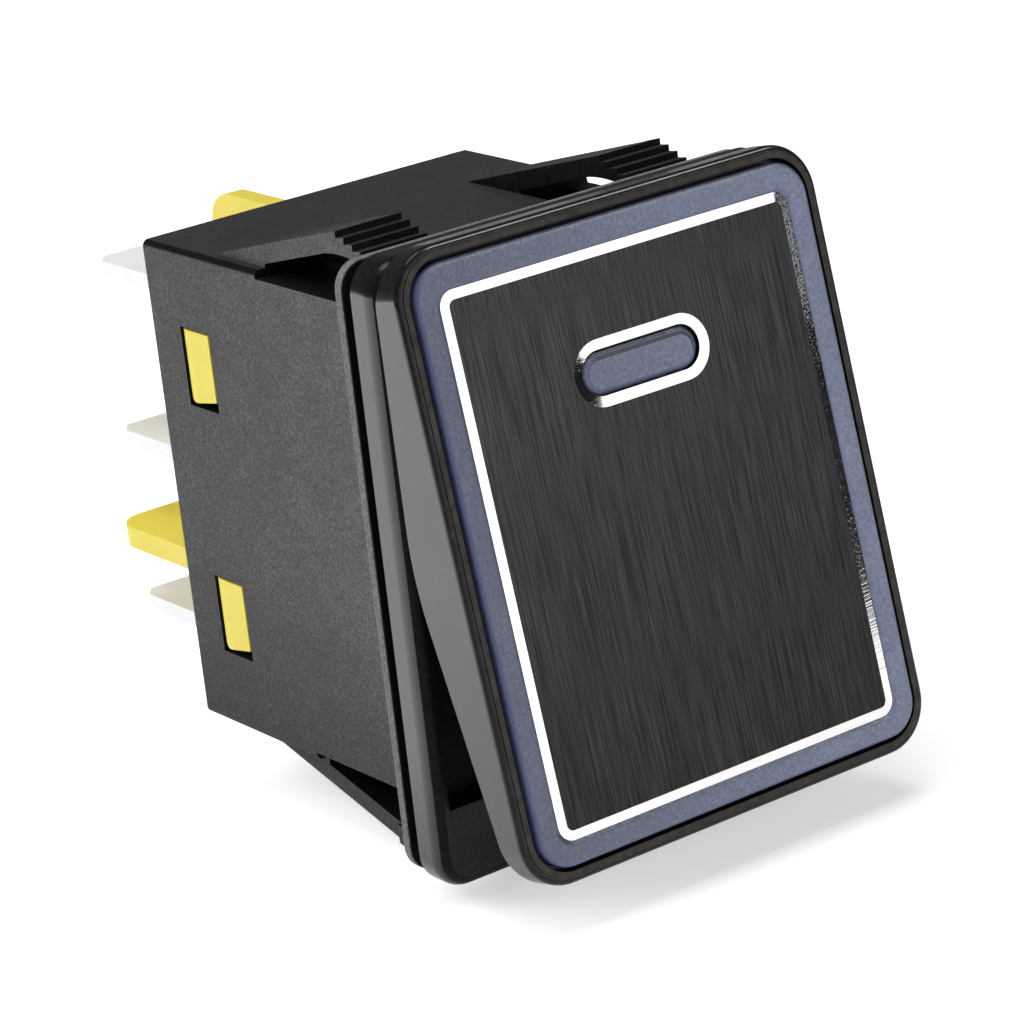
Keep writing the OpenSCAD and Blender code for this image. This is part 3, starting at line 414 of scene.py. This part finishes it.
# lens: sanded on its face; where it turns down at its edges it takes a darker tone, partly its clearer moulding and
# partly painted shade, and painted shade darkens it towards its left
lensLook = {"face": [(0.3, (0.137, 0.158, 0.252)), (0.5, (0.203, 0.231, 0.344)), (0.7, (0.297, 0.328, 0.456))],
            "edge": (0.088, 0.106, 0.215), "turn": (0.74, 0.97), "paintedShade": (-11 * mm, 7 * mm, 0.60),
            "shadow": [(0.10, 1.0), (0.45, 0.42)], "sand": 6000, "cloud": 260, "cloudShare": 0.2,
            "relief": (1.0, 0.05 * mm), "rough": 0.40, "glowThrough": 0.2, "reach": (0.5, 0.6, 1.0),
            "scatter": 0.4 * mm}


def lensPlastic(name, look):
    mat, tree, skin = newFinish(name)
    sand = noise(tree, look["sand"], **fineGrain)
    cloud = noise(tree, look["cloud"])
    face = ramp(tree, blend(tree, sand, cloud, look["cloudShare"]), look["face"])
    # painted shade: the face darkens towards the left
    face = paintShadeAlong(tree, face, "X", *look["paintedShade"])
    # the edge tone where the lens turns down: partly its clearer moulding, partly painted shade
    tone = tint(tree, rise(tree, lean(tree, faceOut), *look["turn"]), look["edge"], face)
    shadow = ramp(tree, lean(tree, (xAxis + faceUp).normalized()), look["shadow"])
    tree.links.new(shade(tree, tone, shadow), skin.inputs["Base Color"])
    tree.links.new(bump(tree, sand, *look["relief"]), skin.inputs["Normal"])
    skin.inputs["Roughness"].default_value = look["rough"]
    skin.inputs["Subsurface Weight"].default_value = look["glowThrough"]
    skin.inputs["Subsurface Radius"].default_value = look["reach"]
    skin.inputs["Subsurface Scale"].default_value = look["scatter"]
    return mat


# the pill's face stands a little higher inside a sloped border painted darker as painted shade, with a thin flat
# band round it painted lighter as a painted highlight
borderShadeLook = {**lensLook, "shadow": [(0.0, 1.0), (0.16, 0.40)],
              "face": [(0.3, (0.095, 0.105, 0.172)), (0.5, (0.125, 0.138, 0.222)), (0.7, (0.165, 0.180, 0.280))]}
ridgeHighlightLook = {**lensLook,
             "face": [(0.3, (0.137, 0.158, 0.252)), (0.5, (0.275, 0.295, 0.395)), (0.7, (0.380, 0.400, 0.500))]}
pill = {"area": 50 * mm * mm, "middle": 2 * mm, "flat": 0.99, "upright": 0.05, "reach": (6.6 * mm, 2.7 * mm),
        "border": 0.12 * mm, "rise": 0.05 * mm, "shift": 0.09 * mm, "ridge": 0.035 * mm}


def raisePill(piece):
    bm = bmesh.new()
    bm.from_mesh(piece.data)
    flats = [f for f in bm.faces if f.normal.dot(faceOut) > pill["flat"] and f.calc_area() < pill["area"]
             and abs(f.calc_center_median().x) < pill["middle"] and f.calc_center_median().z > 0]
    top = max(flats, key=lambda f: f.calc_area())
    middle = top.calc_center_median()
    for face in bm.faces:
        away = face.calc_center_median() - middle
        near = abs(away.x) < pill["reach"][0] and abs(away.dot(faceUp)) < pill["reach"][1]
        # faces on the pill's slopes take the darker border tone, painted shade
        if near and pill["upright"] < face.normal.dot(faceOut) < pill["flat"]:
            face.material_index = 1
    border = bmesh.ops.inset_region(bm, faces=[top], thickness=pill["border"], depth=pill["rise"])["faces"]
    bmesh.ops.translate(bm, verts=top.verts, vec=-pill["shift"] * faceUp)
    for face in border:
        face.material_index = 1
    # a thin flat band round the face takes the lighter ridge tone, a painted highlight
    ridge = bmesh.ops.inset_region(bm, faces=[top], thickness=pill["ridge"])["faces"]
    for face in ridge:
        face.material_index = 2
        for edge in face.edges:
            edge.smooth = False
    print("pill face", round(top.calc_area() / mm / mm, 2), "mm2, border of", len(border), "faces")
    bm.to_mesh(piece.data)
    bm.free()


lensPiece = weldedCopy("lens", "lens_moulding", "rocker_body",
                       [lensPlastic("translucent blue lens", lensLook), lensPlastic("pill border shade", borderShadeLook),
                        lensPlastic("pill ridge highlight", ridgeHighlightLook)])
raisePill(lensPiece)

# face plate: dark brushed metal
plateLook = {
    "tones": [(0.35, (0.020, 0.0203, 0.0207)), (0.5, (0.043, 0.0438, 0.0445)), (0.65, (0.070, 0.0707, 0.0710))],
    "fine": (19000, 300, 290), "broad": (6000, 120, 110), "broadShare": 0.10,
    "paintedShade": (-13 * mm, 9 * mm, 0.62), "rough": (0.30, 0.40), "relief": (0.10, 0.02 * mm),
    "sharp": 4, "cutLean": (0.3, 0.9985)}
brushTurn = (-rockerTilt, 0, 0)  # the brushing lies along the tilted face


def brushedPlate(look):
    mat, tree, skin = newFinish("dark brushed metal")
    fine = noise(tree, 1.0, stretch=look["fine"], turn=brushTurn, **fineGrain)
    broad = noise(tree, 1.0, stretch=look["broad"], turn=brushTurn)
    tone = ramp(tree, blend(tree, fine, broad, look["broadShare"]), look["tones"])
    # painted reflection: the plate is darker towards the bottom
    tree.links.new(paintShadeAlong(tree, tone, "Z", *look["paintedShade"]), skin.inputs["Base Color"])
    tree.links.new(spread(tree, fine, *look["rough"]), skin.inputs["Roughness"])
    tree.links.new(bump(tree, fine, *look["relief"]), skin.inputs["Normal"])
    skin.inputs["Metallic"].default_value = 1.0
    return mat


# its bright cut edges; on the right one, grey flecks painted towards its top stand in for glints, a painted
# highlight
cutLook = {"low": (0.80, 0.80, 0.80), "high": (0.93, 0.93, 0.93), "lines": (200, 200, 8000), "lineDetail": 1,
           "fleck": 8500, "fleckSpan": (0.63, 0.71), "fleckShare": 0.5, "relief": (0.12, 0.03 * mm), "rough": 0.10}
glintLook = {"tone": (0.32, 0.36, 0.40), "grain": 12000, "stops": [(0.40, 0.0), (0.64, 0.8)],
             "height": (3.5 * mm, 9.5 * mm), "glintFade": [(0, 0.2), (0.7, 0.13), (1, 0.0)],
             "side": (7 * mm, 8 * mm), "lean": (0.05, 0.10)}
sparse = {"detail": 2, "rough": 0.6}


def brightCut(look, glint):
    mat, tree, skin = newFinish("bright cut metal")
    lines = noise(tree, 1.0, look["lineDetail"], stretch=look["lines"], turn=brushTurn)
    flecks = rise(tree, noise(tree, look["fleck"], **sparse), *look["fleckSpan"])
    plainCut = spread(tree, lines, look["low"], look["high"])
    # painted glints: non-metal grey flecks on the right cut, thicker towards its top
    glintFade = ramp(tree, drift(tree, "Z", *glint["height"]), glint["glintFade"])
    grains = ramp(tree, maths(tree, "SUBTRACT", noise(tree, glint["grain"], **sparse), glintFade), glint["stops"])
    right = maths(tree, "MULTIPLY", rise(tree, lean(tree, xAxis), *glint["lean"]), drift(tree, "X", *glint["side"]))
    glints = maths(tree, "MULTIPLY", grains, right)
    marks = maths(tree, "ADD", lines, maths(tree, "MULTIPLY", flecks, look["fleckShare"]))
    tree.links.new(tint(tree, glints, plainCut, glint["tone"]), skin.inputs["Base Color"])
    tree.links.new(bump(tree, marks, *look["relief"]), skin.inputs["Normal"])
    tree.links.new(maths(tree, "SUBTRACT", 1.0, glints), skin.inputs["Metallic"])
    skin.inputs["Roughness"].default_value = look["rough"]
    return mat


def plateFace(at, out):
    return 1 if plateLook["cutLean"][0] < out.dot(faceOut) < plateLook["cutLean"][1] else 0


platePiece = weldedCopy("face_plate", "brushed_face", "rocker_body",
                        [brushedPlate(plateLook), brightCut(cutLook, glintLook)], plateLook["sharp"])
paintFaces(platePiece, plateFace)
print("lens and plate done")

# metals and small parts: the solids keep their meshes and take a finish
metalLook = {"cloud": 500, "cloudShare": 0.4, "sway": 0.06, "relief": (0.08, 0.02 * mm)}
speckRelief = (0.1, 0.03 * mm)
# how fine the streaks are along x, y and z
rolled, cast, drawn, turned = (3000, 260, 260), (900, 900, 900), (700, 2600, 700), (900, 2600, 900)


def platedMetal(name, low, high, rough, stretch, metal=1.0, look=metalLook):
    mat, tree, skin = newFinish(name)
    streak = noise(tree, 1.0, stretch=stretch, **metalGrain)
    cloud = noise(tree, look["cloud"])
    tone = spread(tree, blend(tree, streak, cloud, look["cloudShare"]), low, high)
    tree.links.new(tone, skin.inputs["Base Color"])
    tree.links.new(spread(tree, cloud, rough - look["sway"], rough + look["sway"]), skin.inputs["Roughness"])
    tree.links.new(bump(tree, streak, *look["relief"]), skin.inputs["Normal"])
    skin.inputs["Metallic"].default_value = metal
    return mat


def speckled(name, low, high, rough, scale=2500):
    mat, tree, skin = newFinish(name)
    grain = noise(tree, scale, **metalGrain)
    tree.links.new(spread(tree, grain, low, high), skin.inputs["Base Color"])
    tree.links.new(bump(tree, grain, *speckRelief), skin.inputs["Normal"])
    skin.inputs["Roughness"].default_value = rough
    return mat


tinFinish = platedMetal("tinned brass", (0.88, 0.89, 0.905), (0.93, 0.94, 0.957), 0.42, rolled, metal=0.05)
silverFinish = platedMetal("contact silver", (0.70, 0.69, 0.66), (0.86, 0.85, 0.82), 0.26, cast)
wireFinish = platedMetal("drawn spring wire", (0.46, 0.45, 0.43), (0.66, 0.65, 0.62), 0.3, drawn)
smallParts = {
    "lamp_terminal": tinFinish, "supply_terminal": tinFinish, "load_terminal": tinFinish,
    "fixed_contact": silverFinish, "moving_contact": silverFinish,
    "lamp_spring": wireFinish, "plunger_spring": wireFinish,
    "lamp_stud": platedMetal("turned brass", (0.52, 0.34, 0.10), (0.70, 0.50, 0.19), 0.28, turned),
    "contact_bridge": platedMetal("rolled copper alloy", (0.50, 0.24, 0.09), (0.66, 0.36, 0.16), 0.32, rolled),
    "lamp_board": speckled("lamp board green", (0.022, 0.12, 0.055), (0.04, 0.19, 0.095), 0.42, scale=1800),
    "resistor": speckled("resistor body", (0.012, 0.012, 0.012), (0.03, 0.03, 0.03), 0.5),
    "plunger": speckled("white plunger plastic", (0.70, 0.68, 0.62), (0.82, 0.80, 0.74), 0.42),
    "led": speckled("lamp resin", (0.74, 0.70, 0.52), (0.90, 0.86, 0.68), 0.2),
}
for nodeName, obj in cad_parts.items():
    kind = max((k for k in smallParts if nodeName.startswith(k)), key=len, default=None)
    if kind:
        obj.data.materials.clear()
        obj.data.materials.append(smallParts[kind])

# the plungers' coils, which shorten as the plungers are pushed in, each get a copy of the spring with a mesh of its
# own
for side in ("left", "right"):
    coil = weldedCopy("plunger_spring_" + side, "plunger_coil_" + side, "rocker_body", [wireFinish])
    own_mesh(coil)
print("small parts painted")

# pale floor, which glows a little for what looks at it and still takes the shadow
floorLook = {"size": 6.0, "drop": 0.4 * mm, "tone": 0.86, "glow": 0.52}
bpy.ops.mesh.primitive_plane_add(size=floorLook["size"], location=(0, 0, cadLow.z - floorLook["drop"]))
floor = bpy.context.object
floor.name = "floor"
floorMat = bpy.data.materials.new("pale floor")
floorMat.use_nodes = True
tree = floorMat.node_tree
tree.nodes.clear()
out = tree.nodes.new("ShaderNodeOutputMaterial")
matt = tree.nodes.new("ShaderNodeBsdfDiffuse")
matt.inputs["Color"].default_value = (floorLook["tone"],) * 3 + (1,)
glow = tree.nodes.new("ShaderNodeEmission")
path = tree.nodes.new("ShaderNodeLightPath")
seen = maths(tree, "MAXIMUM", maths(tree, "MAXIMUM", path.outputs["Is Camera Ray"], path.outputs["Is Glossy Ray"]),
             path.outputs["Is Transmission Ray"])
tree.links.new(maths(tree, "MULTIPLY", seen, floorLook["glow"]), glow.inputs["Strength"])
both = tree.nodes.new("ShaderNodeAddShader")
tree.links.new(matt.outputs[0], both.inputs[0])
tree.links.new(glow.outputs[0], both.inputs[1])
tree.links.new(both.outputs[0], out.inputs["Surface"])
floor.data.materials.append(floorMat)

# studio light
studio = {"world": 0.16,
          "front": {"at": (0.10, -0.62, 0.13), "aim": (0.10, 0, 0.13), "size": (0.90, 0.54), "power": 2.0},
          "left": {"at": (-0.36, 0.06, 0.22), "aim": (0, 0.01, 0), "size": (0.30, 0.30), "power": 0.30},
          "over": {"at": (-0.02, -0.06, 0.85), "aim": (-0.02, -0.02, 0), "size": (0.40, 0.40), "power": 3.0},
          "rear": {"at": (-0.26, 0.34, 0.27), "aim": (-0.005, 0.025, 0), "size": (0.34, 0.34), "power": 1.7},
          "strip": {"at": (0.34, -0.20, 0.50), "aim": (0, 0, 0.01), "size": (0.30, 0.12), "power": 3.0}}
world = bpy.data.worlds.new("studio")
bpy.context.scene.world = world
world.use_nodes = True
world.node_tree.nodes["Background"].inputs["Color"].default_value = (1, 1, 1, 1)
world.node_tree.nodes["Background"].inputs["Strength"].default_value = studio["world"]


def softbox(name, at, aim, size, power):
    lamp = bpy.data.lights.new(name, "AREA")
    lamp.shape = "RECTANGLE"
    lamp.size, lamp.size_y = size
    lamp.energy = power
    obj = bpy.data.objects.new(name, lamp)
    obj.location = at
    obj.rotation_euler = (Vector(aim) - Vector(at)).to_track_quat("-Z", "Y").to_euler()
    bpy.context.scene.collection.objects.link(obj)
    return obj


for name in ("front", "left", "over", "rear", "strip"):
    box = softbox(name + " box", **studio[name])
    box.visible_glossy = name in ("front", "over", "strip")  # the others would leave spots on the corners
    box.visible_diffuse = name != "strip"  # seen only as a line along the rounds
    box.visible_camera = False

# dark card on the right, which the cut edges facing it show
cardLook = {"at": (0.095, -0.062, 0.0125), "size": (0.065, 0.085), "tone": (0.01, 0.01, 0.012)}
bpy.ops.mesh.primitive_plane_add(size=1.0)
card = bpy.context.object
card.name = "dark card"
card.data.transform(Matrix.Translation(cardLook["at"]) @ Matrix.Rotation(math.radians(90), 4, "Y")
                    @ Matrix.Diagonal((*cardLook["size"], 1, 1)))
cardMat, tree, skin = newFinish("dark card")
skin.inputs["Base Color"].default_value = (*cardLook["tone"], 1)
skin.inputs["Specular IOR Level"].default_value = 0.0
card.data.materials.append(cardMat)
card.visible_camera = card.visible_diffuse = card.visible_shadow = False

# camera where the photograph was taken from
shot = {"at": (-0.112032, -0.156566, 0.064908), "lens": 142.939, "sensor": 36, "clip": (0.01, 20),
        "right": (0.79731, -0.59414, -0.10633), "back": (-0.53845, -0.77967, 0.31955), "nudge": 0.000123}
cam = bpy.data.cameras.new("photo camera")
cam.sensor_width = shot["sensor"]
cam.lens = shot["lens"]
cam.clip_start, cam.clip_end = shot["clip"]
camera = bpy.data.objects.new("photo camera", cam)
back = Vector(shot["back"]).normalized()
up = back.cross(Vector(shot["right"])).normalized()
right = up.cross(back)
back = (back + (right - up) * shot["nudge"]).normalized()  # half a pixel right and down
up = back.cross(right).normalized()
right = up.cross(back)
camera.matrix_world = Matrix.Translation(shot["at"]) @ Matrix((right, up, back)).transposed().to_4x4()
bpy.context.scene.collection.objects.link(camera)
bpy.context.scene.camera = camera
bpy.context.scene.view_settings.view_transform = "Standard"
print("stage ready")
